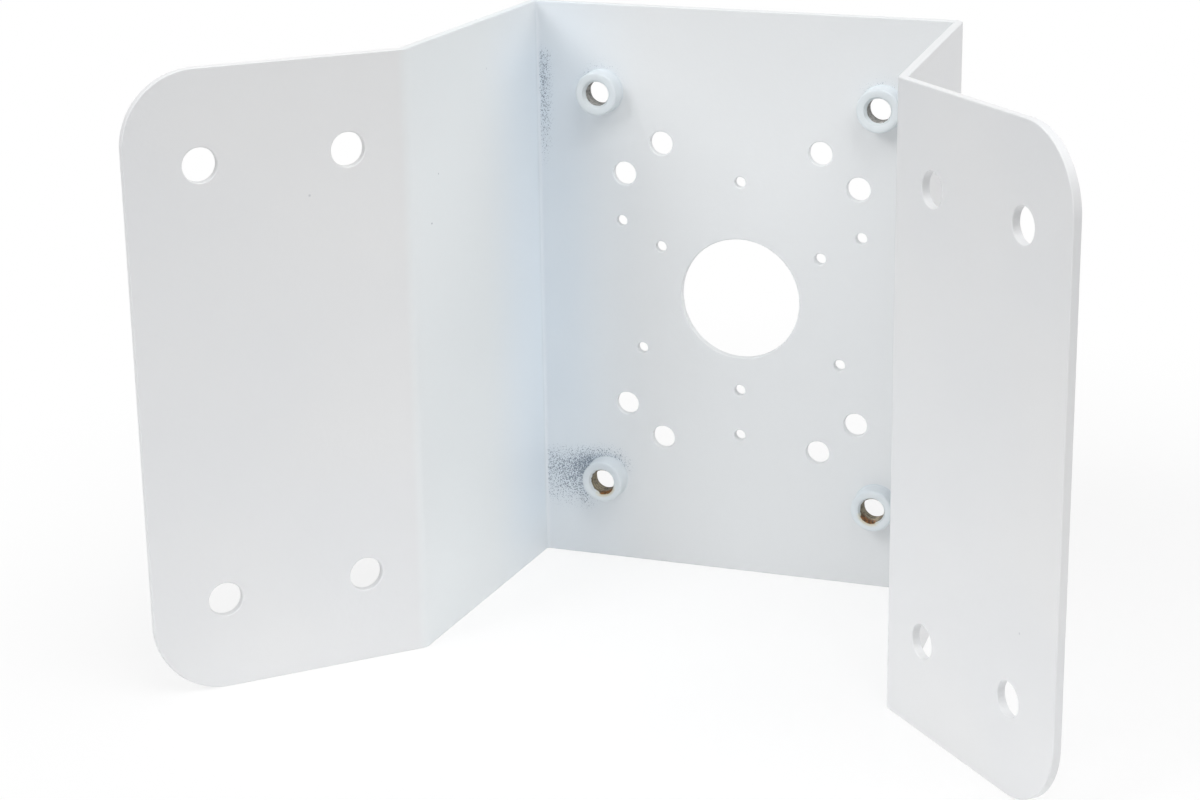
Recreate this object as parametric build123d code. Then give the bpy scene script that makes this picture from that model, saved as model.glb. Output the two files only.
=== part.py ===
"""Outside corner mounting bracket for a camera: one folded steel sheet that carries four clinch nuts.

Millimetres, +Z up. The origin is the centre of the cable hole, on the seat's outer face, where the
camera sits. +Y points out of the building's corner, so the wall side of the bracket faces -Y.
"""

import os
from math import cos, radians, sin

from build123d import *

# Sheet
sheet_thickness = 2.5
bend_radius = 1.0  # on the inside of every fold
bracket_height = 170.0

# Flats, measured on the wall side between the sharp corners of the folds
seat_width = 124.0
web_length = 82.5
web_splay = 3.0  # degrees that each web leans outwards from the seat
flange_length = 77.0
flange_angle = 45.0  # degrees from the mid plane, so that the two flanges fit a square corner
flange_corner_radius = 20.0

# Wall bolt holes, four in each flange
wall_hole_diameter = 9.3
wall_hole_edge_distance = 20.0  # from the flange's outer edge to the outer pair
wall_hole_pitch = 40.0
wall_hole_rise = 119.5

# Cable hole in the middle of the seat
cable_hole_diameter = 36.0

# Two rectangles of plain holes for camera bases
base_hole_diameter = 7.0
tall_base_width = 48.0
tall_base_height = 90.0
square_base_width = 70.7

# Three rings of three small holes around the cable hole: diameter, and the angle of the first hole
small_hole_diameter = 3.3
small_hole_rings = [(56.0, -90.0), (70.0, 90.0), (84.0, -90.0)]

# Clinch nuts, M8 thread
nut_spacing_x = 84.0
nut_spacing_z = 119.0
nut_head_diameter = 12.65
nut_head_height = 5.5
nut_head_chamfer = 0.7
nut_shank_diameter = 10.5
nut_shank_recess = 1.1  # how far the shank's end lies below the seat's outer face
nut_bore_diameter = 6.9
nut_mouth_diameter = 8.4
clinch_clearance = 0.02  # between the shank and its hole, all round


def fold_corners():
    """Return the wall side's sharp corners on the right half: inner fold, outer fold, flange edge."""
    splay = radians(web_splay)
    turn = radians(flange_angle)
    inner_fold = Vector(seat_width / 2, -sheet_thickness)
    outer_fold = inner_fold + Vector(sin(splay), -cos(splay)) * web_length
    flange_edge = outer_fold + Vector(sin(turn), -cos(turn)) * flange_length
    return inner_fold, outer_fold, flange_edge


def flange_plane(side):
    """Return the wall side's plane of the right (1) or left (-1) flange, at its outer edge's middle.

    Local x runs along the edge's height and local y from the outer edge towards the outer fold.
    """
    _, outer_fold, flange_edge = fold_corners()
    edge = Vector(side * flange_edge.X, flange_edge.Y)
    fold = Vector(side * outer_fold.X, outer_fold.Y)
    inwards = (fold - edge).normalized()
    upwards = Vector(0, 0, side)
    return Plane(origin=edge, x_dir=upwards, z_dir=upwards.cross(inwards))


def folded_sheet():
    """Return the sheet: the folded section at full height, with its corners rounded and holes cut."""
    inner_fold, outer_fold, flange_edge = fold_corners()
    right = [inner_fold, outer_fold, flange_edge]
    left = [Vector(-point.X, point.Y) for point in reversed(right)]
    # The wall side is the outside of the two outer folds and the inside of the two inner ones.
    outer_fold_radius = bend_radius + sheet_thickness
    fold_radii = [outer_fold_radius, bend_radius, bend_radius, outer_fold_radius]

    with BuildPart() as sheet:
        with BuildSketch(Plane.XY):
            with BuildLine():
                FilletPolyline(*left, *right, radius=fold_radii)
                offset(amount=sheet_thickness, side=Side.LEFT)
            make_face()
        extrude(amount=bracket_height / 2, both=True)

        flange_ends = sheet.faces().sort_by(Axis.X)
        corner_edges = flange_ends[0].edges() + flange_ends[-1].edges()
        fillet(corner_edges.filter_by(Axis.Z, reverse=True), flange_corner_radius)

        with BuildSketch(Plane.XZ):
            Circle(cable_hole_diameter / 2)
            with GridLocations(tall_base_width, tall_base_height, 2, 2):
                Circle(base_hole_diameter / 2)
            with GridLocations(square_base_width, square_base_width, 2, 2):
                Circle(base_hole_diameter / 2)
            with GridLocations(nut_spacing_x, nut_spacing_z, 2, 2):
                Circle(nut_shank_diameter / 2 + clinch_clearance)
            for ring_diameter, first_angle in small_hole_rings:
                with PolarLocations(ring_diameter / 2, 3, start_angle=first_angle):
                    Circle(small_hole_diameter / 2)
        extrude(amount=2 * sheet_thickness, both=True, mode=Mode.SUBTRACT)

        for side in (-1, 1):
            hole_rows_centre = wall_hole_edge_distance + wall_hole_pitch / 2
            with BuildSketch(flange_plane(side)):
                with Locations((0, hole_rows_centre)):
                    with GridLocations(wall_hole_rise, wall_hole_pitch, 2, 2):
                        Circle(wall_hole_diameter / 2)
            extrude(amount=2 * sheet_thickness, both=True, mode=Mode.SUBTRACT)
    return sheet.part


def clinch_nut():
    """Return one clinch nut: axis on Z, head above z = 0, shank below, bore countersunk at both ends."""
    bore = nut_bore_diameter / 2
    mouth = nut_mouth_diameter / 2
    mouth_depth = mouth - bore
    shank = nut_shank_diameter / 2
    shank_end = nut_shank_recess - sheet_thickness
    head = nut_head_diameter / 2

    with BuildPart() as nut:
        with BuildSketch(Plane.XZ):
            with BuildLine():
                Polyline(
                    (bore, shank_end + mouth_depth),
                    (mouth, shank_end),
                    (shank, shank_end),
                    (shank, 0),
                    (head, 0),
                    (head, nut_head_height - nut_head_chamfer),
                    (head - nut_head_chamfer, nut_head_height),
                    (mouth, nut_head_height),
                    (bore, nut_head_height - mouth_depth),
                    close=True,
                )
            make_face()
        revolve(axis=Axis.Z)
    return nut.part


def seated_nuts():
    """Return the four nuts, their heads seated on the wall side of the seat."""
    wall_side_of_seat = Plane.XZ.offset(sheet_thickness)
    nut = clinch_nut()
    seats = GridLocations(nut_spacing_x, nut_spacing_z, 2, 2)
    return Compound(children=[wall_side_of_seat * seat * nut for seat in seats])


os.makedirs("parts", exist_ok=True)
export_step(folded_sheet(), "parts/bracket.step")
export_step(seated_nuts(), "parts/clinch_nuts.step")
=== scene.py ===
"""Dresses the camera corner mount bracket: a powder-coated folded sheet that carries four clinch nuts.

Shapes are worked out in millimetres and turned into metres where they become meshes. The frame is
the CAD's: origin at the cable hole on the seat's outer face, +Y out of the corner, +Z up.
"""

from math import ceil, cos, pi, radians, sin, tan

import bmesh
import bpy
from mathutils import Matrix, Vector


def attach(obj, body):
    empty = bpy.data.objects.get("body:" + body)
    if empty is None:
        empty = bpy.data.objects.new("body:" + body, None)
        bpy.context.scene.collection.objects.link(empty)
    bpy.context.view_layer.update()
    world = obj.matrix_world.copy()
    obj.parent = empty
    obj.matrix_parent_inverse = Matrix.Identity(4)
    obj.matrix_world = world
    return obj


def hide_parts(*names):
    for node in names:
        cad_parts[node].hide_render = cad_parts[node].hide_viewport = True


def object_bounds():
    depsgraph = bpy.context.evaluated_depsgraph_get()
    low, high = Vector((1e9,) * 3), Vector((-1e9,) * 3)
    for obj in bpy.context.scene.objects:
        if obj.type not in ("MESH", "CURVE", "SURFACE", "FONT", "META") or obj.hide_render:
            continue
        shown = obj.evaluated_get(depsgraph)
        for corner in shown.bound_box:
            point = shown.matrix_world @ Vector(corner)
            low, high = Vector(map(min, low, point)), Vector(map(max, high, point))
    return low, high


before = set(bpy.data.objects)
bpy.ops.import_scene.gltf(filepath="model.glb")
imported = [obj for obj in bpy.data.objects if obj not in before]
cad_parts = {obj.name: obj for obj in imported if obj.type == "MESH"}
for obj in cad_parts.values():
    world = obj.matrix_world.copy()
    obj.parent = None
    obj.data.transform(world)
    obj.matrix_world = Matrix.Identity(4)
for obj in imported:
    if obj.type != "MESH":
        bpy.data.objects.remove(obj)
cad_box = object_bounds()

MM = 0.001

# Sheet, as in the CAD
SHEET = 2.5
BEND_RADIUS = 1.0
HALF_HEIGHT = 85.0
HALF_SEAT = 62.0
WEB_LENGTH = 82.5
WEB_SPLAY = 3.0
FLANGE_LENGTH = 77.0
FLANGE_ANGLE = 45.0
CORNER_RADIUS = 20.0
COAT_ROUND = 0.35  # how far the coat rounds every cut edge

# Holes, as in the CAD: radius, then the places of their centres
CABLE_HOLE_RADIUS = 18.0
BASE_HOLE_RADIUS = 3.5
BASE_HOLE_PLACES = [(24.0, 45.0), (35.35, 35.35)]
SMALL_HOLE_RADIUS = 1.65
SMALL_HOLE_RINGS = [(28.0, -90.0), (35.0, 90.0), (42.0, -90.0)]  # radius, angle of the first hole
NUT_X = 42.0
NUT_Z = 59.5
NUT_HOLE_RADIUS = 5.27
WALL_HOLE_RADIUS = 4.65
WALL_HOLE_Z = 59.75
WALL_HOLE_EDGE_DISTANCES = [20.0, 60.0]

# Clinch nut: radii and, measured from the head's face, depths
HEAD_RADIUS = 6.325
HEAD_HEIGHT = 5.5
HEAD_ROUND = 0.6
FOOT_FILLET = 0.3  # coat gathered where the head meets the sheet
SHANK_RADIUS = 5.25
NUT_DEPTH = 6.9
END_CHAMFER = 0.15
MOUTH_RADIUS = 4.2
MOUTH_ROUND = 0.25
MOUTH_SLOPE = 0.6  # how fast the countersink narrows with depth
END_MOUTH_RADIUS = 4.6  # at the shank end, narrowing as fast as it deepens
THREAD_CORE_RADIUS = 3.45
THREAD_ROOT_RADIUS = 4.0
THREAD_PITCH = 1.25
THREAD_FLANK_SLOPE = 60.0  # degrees from the axis
THREAD_ROOT_SHARE = 0.125  # of the pitch

# Fineness of the meshes
CORNER_STEPS = 24
ROUND_STEPS = 4
FOLD_STEP_DEGREES = 6.0
NUT_STEPS_AROUND = 72
THREAD_STEPS_PER_PITCH = 12
FEWEST_HOLE_STEPS = 24
HOLE_STEPS_PER_MM = 8
SHARP_ANGLE = 35.0

# Camera, fitted to the photograph: place in millimetres, angles in degrees, the rest in pixels
CAMERA_PLACE = (219.307, -709.917, 209.031)
CAMERA_YAW = 18.358
CAMERA_PITCH = 16.970
CAMERA_ROLL = -0.300
FOCAL_PIXELS = 2628.3
PRINCIPAL_POINT = (690.0, 355.0)
PHOTO_SIZE = (1200.0, 800.0)
SENSOR_WIDTH = 36.0  # millimetres
CLIP_START = 0.01  # metres
CLIP_END = 50.0


# The folded sheet

def turned(direction, degrees):
    """Return a plan direction turned anticlockwise."""
    c, s = cos(radians(degrees)), sin(radians(degrees))
    return Vector((direction.x * c - direction.y * s, direction.x * s + direction.y * c))


def fold_stretches():
    """Return the right half's stretches in order: start, length, plan point, heading, turn, centre.

    Start and length run along the flat pattern. The plan point is on the wall side. A fold's turn is
    in degrees, anticlockwise positive, and its centre is at that depth through the sheet.
    """
    inner_turn = WEB_SPLAY - 90.0
    outer_turn = 90.0 - WEB_SPLAY - FLANGE_ANGLE
    folds = [(inner_turn, -BEND_RADIUS), (outer_turn, BEND_RADIUS + SHEET)]
    setbacks = [abs(centre) * tan(radians(abs(turn)) / 2) for turn, centre in folds]
    flats = [
        HALF_SEAT - setbacks[0],
        WEB_LENGTH - setbacks[0] - setbacks[1],
        FLANGE_LENGTH - setbacks[1],
    ]
    stretches = []
    start, point, heading = 0.0, Vector((0.0, -SHEET)), Vector((1.0, 0.0))
    for number, flat in enumerate(flats):
        stretches.append((start, flat, point, heading, 0.0, 0.0))
        start += flat
        point = point + heading * flat
        if number < len(folds):
            turn, centre = folds[number]
            length = radians(abs(turn)) * abs(SHEET / 2 - centre)
            stretches.append((start, length, point, heading, turn, centre))
            start += length
            middle = point + turned(heading, 90.0) * centre
            heading = turned(heading, turn)
            point = middle - turned(heading, 90.0) * centre
    return stretches


STRETCHES = fold_stretches()
HALF_LENGTH = STRETCHES[-1][0] + STRETCHES[-1][1]


def folded(along, depth):
    """Return the plan point, heading and outward direction of a point of the flat pattern."""
    side = 1.0 if along >= 0.0 else -1.0
    reach = abs(along)
    start, length, point, heading, turn, centre = next(
        stretch for stretch in reversed(STRETCHES) if reach >= stretch[0] or stretch[0] == 0.0
    )
    if turn:
        outward = turned(heading, 90.0)
        middle = point + outward * centre
        angle = turn * (reach - start) / length
        heading = turned(heading, angle)
        outward = turned(heading, 90.0)
        place = middle + outward * (depth - centre)
    else:
        outward = turned(heading, 90.0)
        place = point + heading * (reach - start) + outward * depth
    place = Vector((place.x * side, place.y))
    heading = Vector((heading.x, heading.y * side))
    outward = Vector((outward.x * side, outward.y))
    return place, heading, outward


def fold_lines():
    """Return the places along the right half where the flat pattern is divided."""
    lines = []
    for start, length, _, _, turn, _ in STRETCHES:
        if turn:
            steps = ceil(abs(turn) / FOLD_STEP_DEGREES)
            lines += [start + length * step / steps for step in range(steps + 1)]
    return lines


def sheet_outline(inset):
    """Return the flat pattern's edge, anticlockwise from the lower right: places and directions."""
    lines = fold_lines()
    across = [-line for line in reversed(lines)] + lines
    radius = CORNER_RADIUS - inset
    x, z = HALF_LENGTH - CORNER_RADIUS, HALF_HEIGHT - CORNER_RADIUS
    edge = HALF_HEIGHT - inset
    places = []
    for quarter, (corner_x, corner_z) in enumerate([(x, -z), (x, z), (-x, z), (-x, -z)]):
        for step in range(CORNER_STEPS + 1):
            angle = radians(90.0 * (quarter - 1 + step / CORNER_STEPS))
            direction = Vector((cos(angle), sin(angle)))
            places.append((Vector((corner_x, corner_z)) + direction * radius, direction))
        if quarter == 1:
            places += [(Vector((s, edge)), Vector((0, 1))) for s in reversed(across)]
        if quarter == 3:
            places += [(Vector((s, -edge)), Vector((0, -1))) for s in across]
    return places


def hole_outline(centre, radius):
    """Return a function from inset to the places and directions around one hole."""
    steps = max(FEWEST_HOLE_STEPS, HOLE_STEPS_PER_MM * round(radius))

    def ring(inset):
        places = []
        for step in range(steps):
            direction = Vector((cos(2 * pi * step / steps), sin(2 * pi * step / steps)))
            places.append((Vector(centre) + direction * (radius + inset), -direction))
        return places

    return ring


def hole_list():
    """Return every hole of the flat pattern: centre and radius."""
    both = (-1.0, 1.0)
    holes = [((0.0, 0.0), CABLE_HOLE_RADIUS)]
    for x, z in BASE_HOLE_PLACES:
        holes += [((i * x, j * z), BASE_HOLE_RADIUS) for i in both for j in both]
    holes += [((i * NUT_X, j * NUT_Z), NUT_HOLE_RADIUS) for i in both for j in both]
    for ring_radius, first in SMALL_HOLE_RINGS:
        for angle in (first, first + 120.0, first + 240.0):
            centre = (ring_radius * cos(radians(angle)), ring_radius * sin(radians(angle)))
            holes.append((centre, SMALL_HOLE_RADIUS))
    for distance in WALL_HOLE_EDGE_DISTANCES:
        along = HALF_LENGTH - distance
        holes += [((i * along, j * WALL_HOLE_Z), WALL_HOLE_RADIUS) for i in both for j in both]
    return holes


def edge_profile():
    """Return the rounded cut edge from wall side to outer side: inset, depth, and the normal's lean.

    The lean is a pair: how much the normal points out of the edge, and how much through the sheet.
    """
    profile = []
    for step in range(ROUND_STEPS + 1):
        angle = radians(90.0 * step / ROUND_STEPS)
        inset = COAT_ROUND * (1.0 - sin(angle))
        depth = COAT_ROUND * (1.0 - cos(angle))
        profile.append((inset, depth, sin(angle), -cos(angle)))
    outer_half = [(inset, SHEET - depth, out, -through) for inset, depth, out, through in profile]
    return profile + outer_half[::-1]


def add_edge(mesh, normals, outline):
    """Build one cut edge of the flat pattern and return its first and last ring of vertices."""
    rings = []
    for inset, depth, out, through in edge_profile():
        ring = []
        for place, direction in outline(inset):
            ring.append(mesh.verts.new((place.x, depth, place.y)))
            normals.append(Vector((direction.x * out, through, direction.y * out)))
        rings.append(ring)
    for low, high in zip(rings, rings[1:]):
        for i in range(len(low)):
            j = (i + 1) % len(low)
            mesh.faces.new((low[i], low[j], high[j], high[i]))
    return rings[0], rings[-1]


def ring_edges(mesh, ring):
    """Return the edges along a closed ring of vertices."""
    return [mesh.edges.get((a, b)) for a, b in zip(ring, ring[1:] + ring[:1])]


def fill_side(mesh, outline_ring, hole_rings):
    """Close one side of the flat pattern: quads across the folds and webs, filled panels elsewhere."""
    lines = fold_lines()
    count = 2 * len(lines)
    top_start = 2 * (CORNER_STEPS + 1)
    bottom_start = top_start + count + 2 * (CORNER_STEPS + 1)
    top = outline_ring[top_start:top_start + count][::-1]
    bottom = outline_ring[bottom_start:bottom_start + count]
    half = count // 2
    for i in range(count - 1):
        if i != half - 1:
            mesh.faces.new((bottom[i], bottom[i + 1], top[i + 1], top[i]))

    right_panel = [bottom[-1]] + outline_ring[:top_start] + [top[-1]]
    left_panel = [top[0]] + outline_ring[top_start + count:bottom_start] + [bottom[0]]
    seat_panel = [bottom[half - 1], bottom[half], top[half], top[half - 1]]
    for panel in (right_panel, left_panel, seat_panel):
        low = min(vertex.co.x for vertex in panel)
        high = max(vertex.co.x for vertex in panel)
        edges = []
        for a, b in zip(panel, panel[1:] + panel[:1]):
            edges.append(mesh.edges.get((a, b)) or mesh.edges.new((a, b)))
        for ring in hole_rings:
            if low < ring[0].co.x < high:
                edges += ring_edges(mesh, ring)
        bmesh.ops.triangle_fill(mesh, edges=edges, use_beauty=True)


def folded_sheet():
    """Return the bracket's mesh object: built flat, then folded, with exact normals."""
    flat = bmesh.new()
    normals = []
    wall_holes, outer_holes = [], []
    wall_outline, outer_outline = add_edge(flat, normals, sheet_outline)
    for centre, radius in hole_list():
        wall_ring, outer_ring = add_edge(flat, normals, hole_outline(centre, radius))
        wall_holes.append(wall_ring)
        outer_holes.append(outer_ring)
    fill_side(flat, wall_outline, wall_holes)
    fill_side(flat, outer_outline, outer_holes)
    bmesh.ops.recalc_face_normals(flat, faces=flat.faces)

    folded_normals = []
    for vertex, normal in zip(flat.verts, normals):
        place, heading, outward = folded(vertex.co.x, vertex.co.y)
        vertex.co = Vector((place.x, place.y, vertex.co.z)) * MM
        plan = heading * normal.x + outward * normal.y
        folded_normals.append((plan.x, plan.y, normal.z))
    return new_object("folded_sheet", flat, folded_normals)


def new_object(name, built, normals=None):
    """Turn a bmesh into a smooth-shaded object, with the given vertex normals if there are any."""
    data = bpy.data.meshes.new(name)
    built.to_mesh(data)
    built.free()
    for polygon in data.polygons:
        polygon.use_smooth = True
    if normals:
        data.normals_split_custom_set_from_vertices(normals)
    else:
        data.set_sharp_from_angle(angle=radians(SHARP_ANGLE))
    made = bpy.data.objects.new(name, data)
    bpy.context.scene.collection.objects.link(made)
    return made


# The clinch nuts

def thread_radius(turns):
    """Return the internal thread's radius at a place along it, in turns: crest, flank, root, flank."""
    height = THREAD_ROOT_RADIUS - THREAD_CORE_RADIUS
    flank = height / tan(radians(THREAD_FLANK_SLOPE)) / THREAD_PITCH
    crest = 1.0 - 2 * flank - THREAD_ROOT_SHARE
    place = turns % 1.0
    if place < crest:
        return THREAD_CORE_RADIUS
    rise = min((place - crest) / flank, 1.0, (1.0 - place) / flank)
    return THREAD_CORE_RADIUS + height * rise


def quarter_round(centre_radius, centre_depth, radius, first, last):
    """Return points on an arc, its angles in degrees from outwards (0) to deeper (90)."""
    points = []
    for step in range(ROUND_STEPS + 1):
        angle = radians(first + (last - first) * step / ROUND_STEPS)
        points.append((centre_radius + radius * cos(angle), centre_depth + radius * sin(angle)))
    return points


def nut_outside():
    """Return the nut's profile outside the thread as (radius, depth), from mouth to shank end."""
    foot = HEAD_RADIUS + FOOT_FILLET
    profile = [(MOUTH_RADIUS, MOUTH_ROUND / 2), (MOUTH_RADIUS + MOUTH_ROUND, 0.0)]
    profile += quarter_round(HEAD_RADIUS - HEAD_ROUND, HEAD_ROUND, HEAD_ROUND, -90.0, 0.0)
    profile += quarter_round(foot, HEAD_HEIGHT - FOOT_FILLET, FOOT_FILLET, 180.0, 90.0)
    profile += [(SHANK_RADIUS, HEAD_HEIGHT), (SHANK_RADIUS, NUT_DEPTH - END_CHAMFER)]
    profile += [(SHANK_RADIUS - END_CHAMFER, NUT_DEPTH), (END_MOUTH_RADIUS, NUT_DEPTH)]
    return profile


def clinch_nut(name, x, z):
    """Return one nut's mesh object, its axis along Y, with a real thread between two countersinks."""
    face = -SHEET - HEAD_HEIGHT
    steps = ceil(NUT_DEPTH / THREAD_PITCH * THREAD_STEPS_PER_PITCH)
    inside = [NUT_DEPTH * (1.0 - step / steps) for step in range(1, steps)]
    nut = bmesh.new()
    rings = []
    for radius, depth in nut_outside():
        rings.append([(radius, depth)] * NUT_STEPS_AROUND)
    for depth in inside:
        ring = []
        for step in range(NUT_STEPS_AROUND):
            thread = thread_radius(depth / THREAD_PITCH - step / NUT_STEPS_AROUND)
            countersink = MOUTH_RADIUS - MOUTH_SLOPE * depth
            end_countersink = END_MOUTH_RADIUS - (NUT_DEPTH - depth)
            ring.append((max(thread, countersink, end_countersink), depth))
        rings.append(ring)
    loops = []
    for ring in rings:
        loop = []
        for step, (radius, depth) in enumerate(ring):
            angle = 2 * pi * step / NUT_STEPS_AROUND
            place = (x + radius * sin(angle), face + depth, z + radius * cos(angle))
            loop.append(nut.verts.new(Vector(place) * MM))
        loops.append(loop)
    for low, high in zip(loops, loops[1:] + loops[:1]):
        for i in range(NUT_STEPS_AROUND):
            j = (i + 1) % NUT_STEPS_AROUND
            nut.faces.new((low[i], low[j], high[j], high[i]))
    bmesh.ops.recalc_face_normals(nut, faces=nut.faces)
    return new_object(name, nut)


# Materials

class Surface:
    """A principled material whose inputs are written as sums instead of boxes and wires."""

    def __init__(self, name):
        self.material = bpy.data.materials.new(name)
        self.material.use_nodes = True
        self.tree = self.material.node_tree
        self.shader = self.tree.nodes["Principled BSDF"]
        self.output = self.tree.nodes["Material Output"]

    def node(self, kind, *inputs, **settings):
        """Add a node, set it up, and link or fill its inputs in order."""
        made = self.tree.nodes.new(kind)
        for name, value in settings.items():
            setattr(made, name, value)
        for socket, value in zip(made.inputs, inputs):
            self.feed(socket, value)
        return made

    def feed(self, socket, value):
        """Link a socket to another one, or fill it with a constant."""
        if isinstance(value, bpy.types.NodeSocket):
            self.tree.links.new(value, socket)
        else:
            socket.default_value = value

    def sum(self, operation, *values, clamp=False):
        """Return the outcome of one sum, such as ADD."""
        return self.node("ShaderNodeMath", *values, operation=operation, use_clamp=clamp).outputs[0]

    def times(self, *values):
        """Return the product of all the values."""
        product = values[0]
        for value in values[1:]:
            product = self.sum("MULTIPLY", product, value)
        return product

    def length(self, first, second):
        """Return the length of a two-part vector."""
        squares = self.sum("ADD", self.times(first, first), self.times(second, second))
        return self.sum("SQRT", squares)

    def between(self, share, low, high):
        """Return low where the share is 0 and high where it is 1."""
        return self.sum("MULTIPLY_ADD", share, high - low, low)

    def ramp(self, value, low, high):
        """Return a smooth step from 0 at low to 1 at high."""
        step = self.node("ShaderNodeMapRange", value, low, high, interpolation_type="SMOOTHSTEP")
        return step.outputs[0]

    def noise(self, place, cell, detail=2.0, roughness=0.5):
        """Return noise from 0 to 1 with cells of that many millimetres."""
        made = self.node("ShaderNodeTexNoise")
        self.feed(made.inputs["Vector"], place)
        self.feed(made.inputs["Scale"], 1.0 / cell)
        self.feed(made.inputs["Detail"], detail)
        self.feed(made.inputs["Roughness"], roughness)
        return made.outputs["Fac"]

    def blend(self, factor, first, second):
        """Return a colour between two."""
        made = self.node("ShaderNodeMix", data_type="RGBA")
        sockets = [socket for socket in made.inputs if socket.enabled]
        for socket, value in zip(sockets, (factor, first, second)):
            self.feed(socket, value)
        return next(socket for socket in made.outputs if socket.enabled)

    def place(self):
        """Return the place on the object in millimetres, and its x, y and z."""
        raw = self.node("ShaderNodeTexCoord").outputs["Object"]
        scaled = self.node("ShaderNodeVectorMath", raw, operation="SCALE")
        scaled.inputs["Scale"].default_value = 1.0 / MM
        split = self.node("ShaderNodeSeparateXYZ", scaled.outputs[0])
        return scaled.outputs[0], split.outputs[0], split.outputs[1], split.outputs[2]

    def bump(self, height, depth):
        """Feed the shader's normal with a relief that many millimetres deep."""
        made = self.node("ShaderNodeBump")
        made.inputs["Distance"].default_value = depth * MM
        self.feed(made.inputs["Height"], height)
        self.feed(self.shader.inputs["Normal"], made.outputs[0])


# Colours of the coat, of its wear and of the threads, and of the painted light on them
COAT = (0.775, 0.782, 0.793, 1.0)
COAT_WARM = (0.795, 0.797, 0.80, 1.0)
# Painted light: the left web is given a lighter, bluer lit copy of the coat
LIT_WEB_COAT = (0.815, 0.843, 0.853, 1.0)
SEAT_COAT = (0.783, 0.797, 0.806, 1.0)
# Painted light: a lighter, bluish tone that lifts the shade by the left inner fold
PAINTED_FOLD_LIGHT = (0.785, 0.848, 0.902, 1.0)
THIN_COAT = (0.55, 0.665, 0.78, 1.0)
BARE_GRAIN = (0.225, 0.27, 0.33, 1.0)
NUT_COAT = (0.715, 0.765, 0.80, 1.0)
NUT_COAT_WARM = (0.74, 0.785, 0.805, 1.0)
NUT_THIN_COAT = (0.53, 0.59, 0.66, 1.0)
SPECK = (0.10, 0.12, 0.18, 1.0)
# Painted light on the bare thread: near-black roots stand for shade, lighter crests for highlights and
# glints, warmer on the lower nuts
THREAD_ROOT_SHADE = (0.02, 0.02, 0.022, 1.0)
THREAD_CREST_HIGHLIGHT = (0.33, 0.325, 0.31, 1.0)
THREAD_CREST_WARM_GLINT = (0.30, 0.26, 0.18, 1.0)
RUST = (0.30, 0.125, 0.035, 1.0)
RUST_DARK = (0.09, 0.05, 0.025, 1.0)
RUST_STAIN = (0.66, 0.60, 0.42, 1.0)

# The coat's gloss and relief, and the size of every pattern's cells in millimetres
COAT_ROUGHNESS = 0.42
ROUGHNESS_SPREAD = 0.06
PEEL_DEPTH = 0.035
WARMTH_CELL = 55.0
GLOSS_CELL = 0.9
PEEL_CELL = 1.6
WEAR_CELL = 14.0
GRAIN_CELL = 0.29
RAGGED_CELL = 0.8
RUST_CELL = 0.6

# Fades over the sheet, in millimetres: each pair is where a share is 0 and where it is 1
LEFT_HALF = (10.0, -20.0)
LIT_WEB_EDGE = (HALF_SEAT + 6.5, HALF_SEAT + 3.5)
SEAT_COAT_EDGE = (HALF_SEAT + 2.0, HALF_SEAT - 1.0)
SEAT_WALL_SIDE = (-SHEET / 2, -SHEET / 2 - 0.2)
WEB_WALL_SIDE = (HALF_SEAT + 1.4, HALF_SEAT + 1.2)
WEB_BEGINS = (0.3, 2.0)
SEAT_BEGINS = (1.2, 0.4)
OFF_THE_ENDS = (84.0, 66.0)
FOLD_LIGHT_ON_WEB = (42.0, 10.0)
FOLD_LIGHT_ON_SEAT = (38.0, 8.0)
THIN_NEAR_FOLD = (23.0, 6.0)
THIN_FROM_FOOT = (-84.0, -20.0)
BAND_ACROSS = (41.0, 50.0)
BAND_TOP = (-47.0, -58.0)
BAND_FOOT = (-75.0, -60.0)
BAND_NEAR_NUT = (19.0, 9.0)
STRIP_ACROSS = (6.5, 1.2)
STRIP_TOP = (74.0, 67.0)
STRIP_FOOT = (26.0, 60.0)
CLEAR_OF_FOLD = (0.0, 1.2)

# Fades in and around a nut, in millimetres from its axis or below its face
COLLAR = (8.6, 6.7)
SPRAY = (13.0, 6.6)
HEAD_SIDE = (5.4, 6.3)
HEAD_FACE = (3.5, 5.4)
MOUTH_INSIDE = (4.5, 4.2)
SHANK_END_INSIDE = (NUT_DEPTH - 0.3, NUT_DEPTH - 0.6)
THREAD_HIGHLIGHT_RADII = (THREAD_ROOT_RADIUS - 0.1, THREAD_CORE_RADIUS + 0.1)
RUST_DEPTHS = (3.4, 1.8)
STAIN_DEPTHS = (3.0, 1.0)
STAIN_RADII = (5.0, 4.1)
PAINT_EDGE = (0.0, 0.15)

# How deep the paint reaches into a nut, least and most, and what the lower nuts and rust take off it
PAINT_REACH = (1.25, 1.95)
LOWER_NUTS_TAKE = 0.7
RUST_TAKES = 0.65

# Directions around a nut's axis, outwards and upwards, and the cosines between which wear fades in. The
# rust's cosine has RUST_RAGGEDNESS of noise added to it.
UPPER_LEAN = (0.1, 0.99)
UPPER_EDGE = (-0.25, 0.9)
RUST_LEAN = (-0.4, -0.92)
RUST_EDGE = (0.95, 1.15)
STAIN_EDGE = (0.75, 1.15)
RUST_RAGGEDNESS = 0.5

# Least and most of what varies from place to place
THIN_CLOUD = (0.75, 1.25)
BAND_CLOUD = (0.6, 1.4)
BAND_BY_NUT = (0.75, 1.05)
TOWARDS_ENDS = (0.4, 1.0)

# Values of the noise between which its pattern fades in
WARM_PATCHES = (0.3, 0.7)
CREST_HIGHLIGHT_PATCHES = (0.15, 0.6)
RUST_PATCHES = (0.42, 0.6)

# Grains of bare steel: the noise makes one above a threshold, which falls as more steel shows
GRAIN_THRESHOLD = (0.7, 0.4)
GRAIN_EDGE = (0.0, 0.06)
GRAIN_ONSET = (0.02, 0.3)
GRAIN_SHARE = 0.95
GRAIN_PIT = -0.8  # in peel depths
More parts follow.
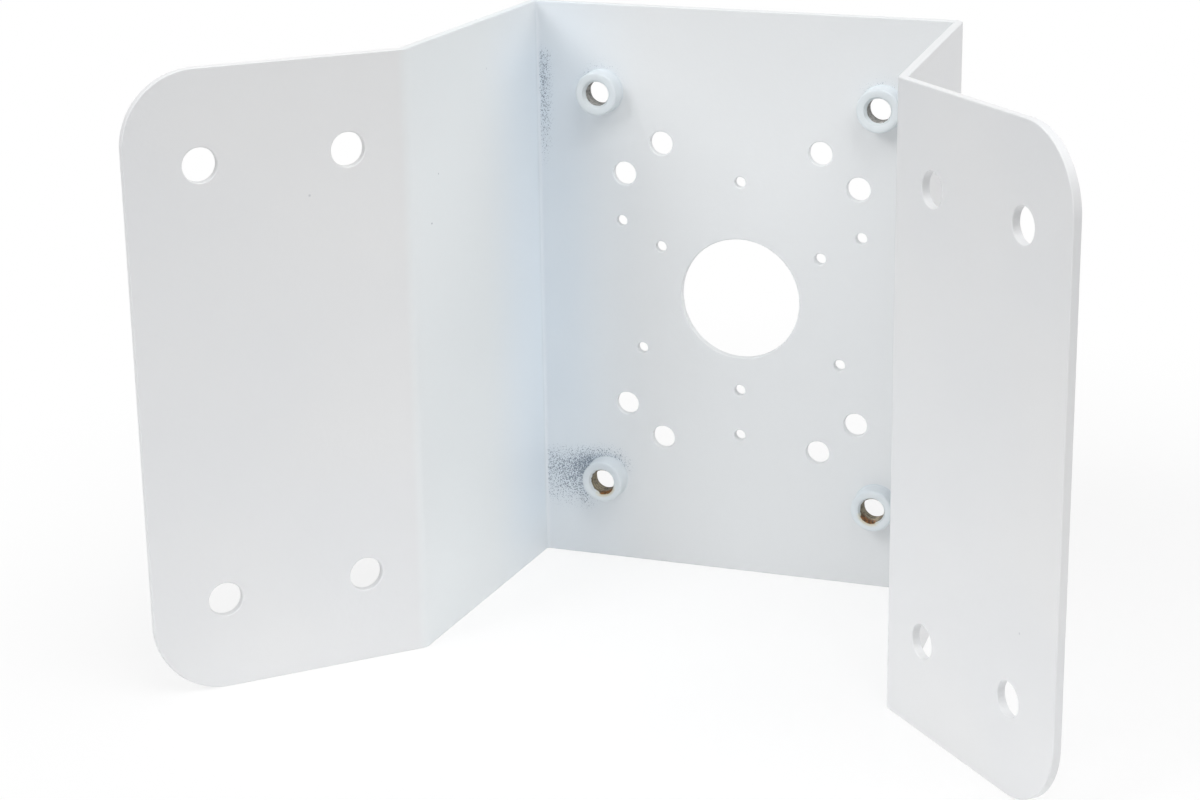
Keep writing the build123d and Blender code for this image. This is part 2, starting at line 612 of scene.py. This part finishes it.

# How strong each kind of wear is, and the painted light by the left inner fold, from 0 to 1
FOLD_LIGHT_SEAT_SHARE = 0.5
THIN_SHARE = 0.22
UPPER_NUT_WEAR = 0.4
LOWER_RIGHT_NUT_WEAR = 0.05
LOWER_LEFT_NUT_WEAR = 1.0
BAND_SHARE = 0.8
STRIP_SHARE = 0.62
SPRAY_SHARE = 0.4
COLLAR_SHARE = 0.15
BARE_THINS_COAT = 0.22
COLLAR_THINS_COAT = 0.1
NUT_THIN_SHARE = 0.25
STAIN_SHARE = 0.7
BARE_METALLIC = 0.6

# Dust specks on the coat: place in millimetres, radius, and how dark
SPECK_CORE = 0.4  # of the radius
SPECKS = [
    ((-65.7, -73.2, 35.0), 0.36, 0.7),
    ((-65.4, -68.3, 47.8), 0.30, 0.6),
    ((-63.8, -36.6, 71.1), 0.40, 0.22),
    ((-86.2, -104.8, 48.6), 0.45, 0.25),
    ((109.6, -128.2, -40.7), 0.40, 0.25),
]


def coat_texture(s, place, colour, warm_colour):
    """Return the coat's colour before wear and its orange peel's height, and add its uneven gloss."""
    warmth = s.noise(place, WARMTH_CELL, detail=1.0)
    fine = s.noise(place, GLOSS_CELL, detail=3.0, roughness=0.6)
    peel = s.noise(place, PEEL_CELL, detail=2.0, roughness=0.55)
    gloss = s.between(fine, COAT_ROUGHNESS - ROUGHNESS_SPREAD, COAT_ROUGHNESS + ROUGHNESS_SPREAD)
    s.feed(s.shader.inputs["Roughness"], gloss)
    return s.blend(s.ramp(warmth, *WARM_PATCHES), colour, warm_colour), peel


def around_nut(s, x, z):
    """Return, for the nearest nut, the place outwards and upwards of its axis, the radius, and
    1 on the lower two nuts' half."""
    outwards = s.sum("SUBTRACT", s.sum("ABSOLUTE", x), NUT_X)
    lower = s.sum("LESS_THAN", z, 0.0)
    upwards = s.sum("SUBTRACT", z, s.between(lower, NUT_Z, -NUT_Z))
    return outwards, upwards, s.length(outwards, upwards), lower


def cosine_to(s, lean, outwards, upwards, radius):
    """Return the cosine between a direction around a nut's axis and the place's own direction."""
    leaning = s.sum("ADD", s.times(outwards, lean[0]), s.times(upwards, lean[1]))
    return s.sum("DIVIDE", leaning, radius)


def upper_side(s, outwards, upwards, radius):
    """Return 1 above a nut, a little more so towards the web, and 0 below it."""
    return s.ramp(cosine_to(s, UPPER_LEAN, outwards, upwards, radius), *UPPER_EDGE)


class SheetPlaces:
    """Where a point of the sheet lies, as places in millimetres and as shares from 0 to 1.

    The inner fold is the nearer of the two, and only the sheet's wall side counts as inside.
    """

    def __init__(self, s):
        self.place, self.x, y, self.z = s.place()
        self.across = s.sum("ABSOLUTE", self.x)
        self.from_fold = s.sum("SUBTRACT", HALF_SEAT, self.across)
        along_web = s.sum("SUBTRACT", -SHEET, y)
        self.distance = s.length(self.from_fold, along_web)
        self.left = s.ramp(self.x, *LEFT_HALF)
        height = s.sum("ABSOLUTE", self.z)
        self.off_ends = s.between(s.ramp(height, *OFF_THE_ENDS), *TOWARDS_ENDS)

        upright = s.sum("MULTIPLY_ADD", along_web, -tan(radians(WEB_SPLAY)), self.across)
        web_side = s.ramp(upright, *WEB_WALL_SIDE)
        seat_side = s.ramp(y, *SEAT_WALL_SIDE)
        on_web = s.ramp(along_web, *WEB_BEGINS)
        off_web = s.between(on_web, 1.0, 0.0)
        self.inside_web = s.times(on_web, web_side)
        self.inside_seat = s.times(off_web, web_side, seat_side)
        self.flat_seat = s.times(seat_side, s.ramp(along_web, *SEAT_BEGINS))


def fold_light_share(s, at):
    """Return the share of painted light, lighter and bluish, that lifts the shade by the left inner
    fold, most on the web.
    """
    on_web = s.times(s.ramp(at.distance, *FOLD_LIGHT_ON_WEB), at.inside_web, at.off_ends)
    on_seat = s.times(s.ramp(at.distance, *FOLD_LIGHT_ON_SEAT), at.inside_seat, FOLD_LIGHT_SEAT_SHARE)
    return s.times(s.sum("ADD", on_web, on_seat, clamp=True), at.left)


def thin_share(s, at, cloud):
    """Return how thin the coat is on the seat near the left inner fold, more so higher up."""
    near_fold = s.times(s.ramp(at.distance, *THIN_NEAR_FOLD), s.between(cloud, *THIN_CLOUD))
    rising = s.times(s.ramp(at.z, *THIN_FROM_FOOT), THIN_SHARE)
    return s.times(near_fold, rising, at.off_ends, at.inside_seat, at.left)


def nut_wear(s, at):
    """Return the radius from the nearest nut, and the wear above it: narrow collar and wide spray."""
    outwards, upwards, radius, lower = around_nut(s, at.x, at.z)
    above = s.times(upper_side(s, outwards, upwards, radius), at.flat_seat)
    lower_wear = s.between(at.left, LOWER_RIGHT_NUT_WEAR, LOWER_LEFT_NUT_WEAR)
    more = s.sum("SUBTRACT", lower_wear, UPPER_NUT_WEAR)
    strength = s.sum("MULTIPLY_ADD", lower, more, UPPER_NUT_WEAR)
    collar = s.times(above, strength, s.ramp(radius, *COLLAR))
    spray = s.times(above, strength, s.ramp(radius, *SPRAY))
    return radius, collar, spray


def bare_share(s, at, cloud, radius, collar, spray):
    """Return how much steel shows: in a band by the lower left nut, up the left fold, by the nuts."""
    band = s.times(
        s.ramp(at.across, *BAND_ACROSS),
        s.ramp(at.z, *BAND_TOP),
        s.ramp(at.z, *BAND_FOOT),
        s.between(s.ramp(radius, *BAND_NEAR_NUT), *BAND_BY_NUT),
        s.between(cloud, *BAND_CLOUD),
    )
    strip = s.times(
        s.ramp(at.from_fold, *STRIP_ACROSS),
        s.ramp(at.z, *STRIP_TOP),
        s.ramp(at.z, *STRIP_FOOT),
    )
    by_fold = s.sum("ADD", s.times(band, BAND_SHARE), s.times(strip, STRIP_SHARE))
    by_fold = s.times(by_fold, s.ramp(at.from_fold, *CLEAR_OF_FOLD), at.left, at.flat_seat)
    by_nuts = s.sum("ADD", s.times(spray, SPRAY_SHARE), s.times(collar, COLLAR_SHARE))
    return s.sum("ADD", by_fold, by_nuts, clamp=True)


def add_specks(s, place, colour):
    """Return the colour with the dust specks on it."""
    for centre, size, darkness in SPECKS:
        away = s.node("ShaderNodeVectorMath", place, centre, operation="DISTANCE").outputs["Value"]
        colour = s.blend(s.times(s.ramp(away, size, size * SPECK_CORE), darkness), colour, SPECK)
    return colour


def sheet_finish():
    """The sheet's powder coat: thin by the left inner fold, with painted bluish light in that fold's
    shade, a painted lighter left web, and grains of bare steel.

    The right inner fold, which the photograph hides, is plain.
    """
    s = Surface("sheet_coat")
    at = SheetPlaces(s)
    colour, peel = coat_texture(s, at.place, COAT, COAT_WARM)
    # Painted light: the left web takes the lighter, bluer lit copy of the coat
    colour = s.blend(s.times(s.ramp(at.across, *LIT_WEB_EDGE), at.left), colour, LIT_WEB_COAT)
    colour = s.blend(s.ramp(at.across, *SEAT_COAT_EDGE), colour, SEAT_COAT)
    # Painted bluish light that lifts the shade by the left inner fold
    colour = s.blend(fold_light_share(s, at), colour, PAINTED_FOLD_LIGHT)

    cloud = s.noise(at.place, WEAR_CELL, detail=2.0)
    radius, collar, spray = nut_wear(s, at)
    bare = bare_share(s, at, cloud, radius, collar, spray)
    thin = s.sum("MULTIPLY_ADD", bare, BARE_THINS_COAT, s.times(collar, COLLAR_THINS_COAT))
    thin = s.sum("ADD", thin_share(s, at, cloud), thin, clamp=True)
    colour = s.blend(thin, colour, THIN_COAT)

    grain = s.noise(at.place, GRAIN_CELL, detail=1.0, roughness=0.6)
    excess = s.sum("SUBTRACT", grain, s.between(bare, *GRAIN_THRESHOLD))
    grains = s.times(s.ramp(excess, *GRAIN_EDGE), s.ramp(bare, *GRAIN_ONSET))
    colour = s.blend(s.times(grains, GRAIN_SHARE), colour, BARE_GRAIN)
    s.bump(s.sum("MULTIPLY_ADD", s.times(grains, bare), GRAIN_PIT, peel), PEEL_DEPTH)
    s.feed(s.shader.inputs["Base Color"], add_specks(s, at.place, colour))
    return s.material


def nut_finish():
    """The nuts' powder coat outside, and the bare thread inside, rusty at the foot of the lower two,
    with painted shade in the thread's roots and painted highlights on its crests.
    """
    s = Surface("nut_coat")
    place, x, y, z = s.place()
    coat_colour, peel = coat_texture(s, place, NUT_COAT, NUT_COAT_WARM)
    s.bump(peel, PEEL_DEPTH)
    outwards, upwards, radius, lower = around_nut(s, x, z)
    lower_left = s.times(lower, s.sum("LESS_THAN", x, 0.0))
    depth = s.sum("ADD", y, SHEET + HEAD_HEIGHT)
    ragged = s.noise(place, RAGGED_CELL, detail=3.0, roughness=0.6)

    # Thin coat on the upper side of every head, and on the lower left nut's face too
    on_side = s.ramp(radius, *HEAD_SIDE)
    on_face = s.times(s.ramp(radius, *HEAD_FACE), lower_left)
    worn = s.sum("MAXIMUM", on_side, on_face)
    thin = s.times(upper_side(s, outwards, upwards, radius), worn, NUT_THIN_SHARE)
    coat_colour = s.blend(thin, coat_colour, NUT_THIN_COAT)

    # Rust sits at the foot of the lower threads' mouths, a little towards the middle of the seat
    footwards = cosine_to(s, RUST_LEAN, outwards, upwards, radius)
    footwards = s.sum("MULTIPLY_ADD", ragged, RUST_RAGGEDNESS, footwards)
    rust = s.times(s.ramp(footwards, *RUST_EDGE), s.ramp(depth, *RUST_DEPTHS), lower)
    stain = s.times(
        s.ramp(footwards, *STAIN_EDGE),
        s.ramp(radius, *STAIN_RADII),
        s.ramp(depth, *STAIN_DEPTHS),
        lower,
    )
    coat_colour = s.blend(s.times(stain, STAIN_SHARE), coat_colour, RUST_STAIN)

    # The coat reaches a ragged edge, deeper in the upper nuts, and less far where the rust lifts it
    paint_reach = s.sum("MULTIPLY_ADD", lower, -LOWER_NUTS_TAKE, s.between(ragged, *PAINT_REACH))
    paint_reach = s.sum("MULTIPLY_ADD", rust, -RUST_TAKES, paint_reach)
    bare = s.times(
        s.ramp(s.sum("SUBTRACT", depth, paint_reach), *PAINT_EDGE),
        s.ramp(depth, *SHANK_END_INSIDE),
        s.ramp(radius, *MOUTH_INSIDE),
    )
    # Painted highlights on the thread's crests, in patches, over painted shade in its roots
    crest = s.ramp(radius, *THREAD_HIGHLIGHT_RADII)
    crest_highlight_colour = s.blend(lower, THREAD_CREST_HIGHLIGHT, THREAD_CREST_WARM_GLINT)
    thread = s.blend(s.times(crest, s.ramp(ragged, *CREST_HIGHLIGHT_PATCHES)), THREAD_ROOT_SHADE, crest_highlight_colour)
    rust_colour = s.blend(s.ramp(s.noise(place, RUST_CELL), *RUST_PATCHES), RUST, RUST_DARK)
    thread = s.blend(rust, thread, rust_colour)
    s.feed(s.shader.inputs["Base Color"], s.blend(bare, coat_colour, thread))
    metal = s.times(bare, s.between(rust, 1.0, 0.0), BARE_METALLIC)
    s.feed(s.shader.inputs["Metallic"], metal)
    return s.material


# Floor, light and camera

# Lengths are in metres. What is seen of the floor is plain white for the share NEAR_WHITE out to
# SHADE_KEPT_TO, so that the shadow stays, and wholly white from WHITE_FROM outwards.
FLOOR_HALF_WIDTH = 0.42
FLOOR_COLOUR = (0.93, 0.93, 0.93, 1.0)
FLOOR_ROUGHNESS = 0.75
NEAR_WHITE = 0.72
SHADE_KEPT_TO = 0.1
WHITE_FROM = 0.3
WHITE = (1.0, 1.0, 1.0, 1.0)
SKY_COLOUR = (0.96, 0.98, 1.0, 1.0)
SKY_LEVEL = 0.17

# Soft lamps: name, place in metres, width, and the share of full light that each gives a surface
# which faces it
LAMPS = [
    ("overhead", (0.0, -0.3, 1.6), 1.6, 0.12),
    ("overhead_right", (0.7, -0.5, 1.4), 1.2, 0.52),
    ("front_left", (-1.0, -1.2, 1.2), 1.0, 0.435),
    ("behind_right", (1.1, 0.7, 0.9), 0.9, 0.235),
    ("front", (0.2, -1.8, 0.6), 0.9, 0.06),
    ("front_right", (0.9, -1.6, 0.35), 0.9, 0.04),
]


def seen_directly(nodes, links):
    """Return a socket that is 1 for rays that show the background: camera, gloss and glass."""
    path = nodes.new("ShaderNodeLightPath")
    total = path.outputs["Is Camera Ray"]
    for kind in ("Is Glossy Ray", "Is Transmission Ray"):
        either = nodes.new("ShaderNodeMath")
        either.operation = "MAXIMUM"
        links.new(total, either.inputs[0])
        links.new(path.outputs[kind], either.inputs[1])
        total = either.outputs[0]
    return total


def floor_finish():
    """Pale floor that keeps the shadow near the object and is seen as plain white further off."""
    s = Surface("pale_floor")
    s.feed(s.shader.inputs["Base Color"], FLOOR_COLOUR)
    s.shader.inputs["Roughness"].default_value = FLOOR_ROUGHNESS
    _, x, y, _ = s.place()
    far = s.ramp(s.length(x, y), SHADE_KEPT_TO / MM, WHITE_FROM / MM)
    whiteness = s.between(far, NEAR_WHITE, 1.0)
    seen = seen_directly(s.tree.nodes, s.tree.links)
    white = s.node("ShaderNodeEmission", WHITE, 1.0).outputs[0]
    mixed = s.node("ShaderNodeMixShader", s.times(whiteness, seen), s.shader.outputs[0], white)
    s.tree.links.new(mixed.outputs[0], s.output.inputs["Surface"])
    return s.material


def add_floor():
    """Lay the floor under the bracket's foot."""
    low = cad_box[0].z
    corners = [(-1, -1), (1, -1), (1, 1), (-1, 1)]
    places = [(i * FLOOR_HALF_WIDTH, j * FLOOR_HALF_WIDTH, low) for i, j in corners]
    data = bpy.data.meshes.new("floor")
    data.from_pydata(places, [], [(0, 1, 2, 3)])
    floor = bpy.data.objects.new("floor", data)
    bpy.context.scene.collection.objects.link(floor)
    floor.data.materials.append(floor_finish())


def add_sky():
    """Add even light from all round, which the camera, gloss and glass see as plain white."""
    world = bpy.data.worlds.new("studio")
    bpy.context.scene.world = world
    world.use_nodes = True
    nodes, links = world.node_tree.nodes, world.node_tree.links
    light = nodes["Background"]
    light.inputs["Color"].default_value = SKY_COLOUR
    light.inputs["Strength"].default_value = SKY_LEVEL
    white = nodes.new("ShaderNodeBackground")
    white.inputs["Color"].default_value = WHITE
    mixed = nodes.new("ShaderNodeMixShader")
    links.new(seen_directly(nodes, links), mixed.inputs[0])
    links.new(light.outputs[0], mixed.inputs[1])
    links.new(white.outputs[0], mixed.inputs[2])
    links.new(mixed.outputs[0], nodes["World Output"].inputs["Surface"])


def add_lamp(name, place, width, level):
    """Hang one large square soft lamp, aimed at the object and unseen by the camera."""
    data = bpy.data.lights.new(name, "AREA")
    data.shape = "SQUARE"
    data.size = width
    distance = Vector(place).length
    data.energy = level * (pi * distance) ** 2
    lamp = bpy.data.objects.new(name, data)
    bpy.context.scene.collection.objects.link(lamp)
    lamp.location = place
    lamp.visible_camera = False
    lamp.rotation_mode = "QUATERNION"
    lamp.rotation_quaternion = (-Vector(place)).to_track_quat("-Z", "Y")


def add_camera():
    """Set up the camera that took the photograph."""
    data = bpy.data.cameras.new("camera")
    data.sensor_width = SENSOR_WIDTH
    data.lens = FOCAL_PIXELS / PHOTO_SIZE[0] * SENSOR_WIDTH
    data.shift_x = (PHOTO_SIZE[0] / 2 - PRINCIPAL_POINT[0]) / PHOTO_SIZE[0]
    data.shift_y = (PRINCIPAL_POINT[1] - PHOTO_SIZE[1] / 2) / PHOTO_SIZE[0]
    data.clip_start = CLIP_START
    data.clip_end = CLIP_END
    camera = bpy.data.objects.new("camera", data)
    bpy.context.scene.collection.objects.link(camera)
    turn = Matrix.Rotation(radians(CAMERA_YAW), 4, "Z")
    tilt = Matrix.Rotation(radians(90.0 - CAMERA_PITCH), 4, "X")
    roll = Matrix.Rotation(radians(CAMERA_ROLL), 4, "Z")
    camera.matrix_world = Matrix.Translation(Vector(CAMERA_PLACE) * MM) @ turn @ tilt @ roll
    bpy.context.scene.camera = camera


# The pieces and the stage

sheet = folded_sheet()
sheet.data.materials.append(sheet_finish())
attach(sheet, "root")
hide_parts("bracket")

coat = nut_finish()
for side, x in (("left", -NUT_X), ("right", NUT_X)):
    for level, z in (("lower", -NUT_Z), ("upper", NUT_Z)):
        nut = clinch_nut(f"clinch_nut_{level}_{side}", x, z)
        nut.data.materials.append(coat)
        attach(nut, "root")
        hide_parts("clinch_nuts")

add_floor()
add_sky()
for lamp_settings in LAMPS:
    add_lamp(*lamp_settings)
add_camera()
bpy.context.scene.view_settings.view_transform = "Standard"
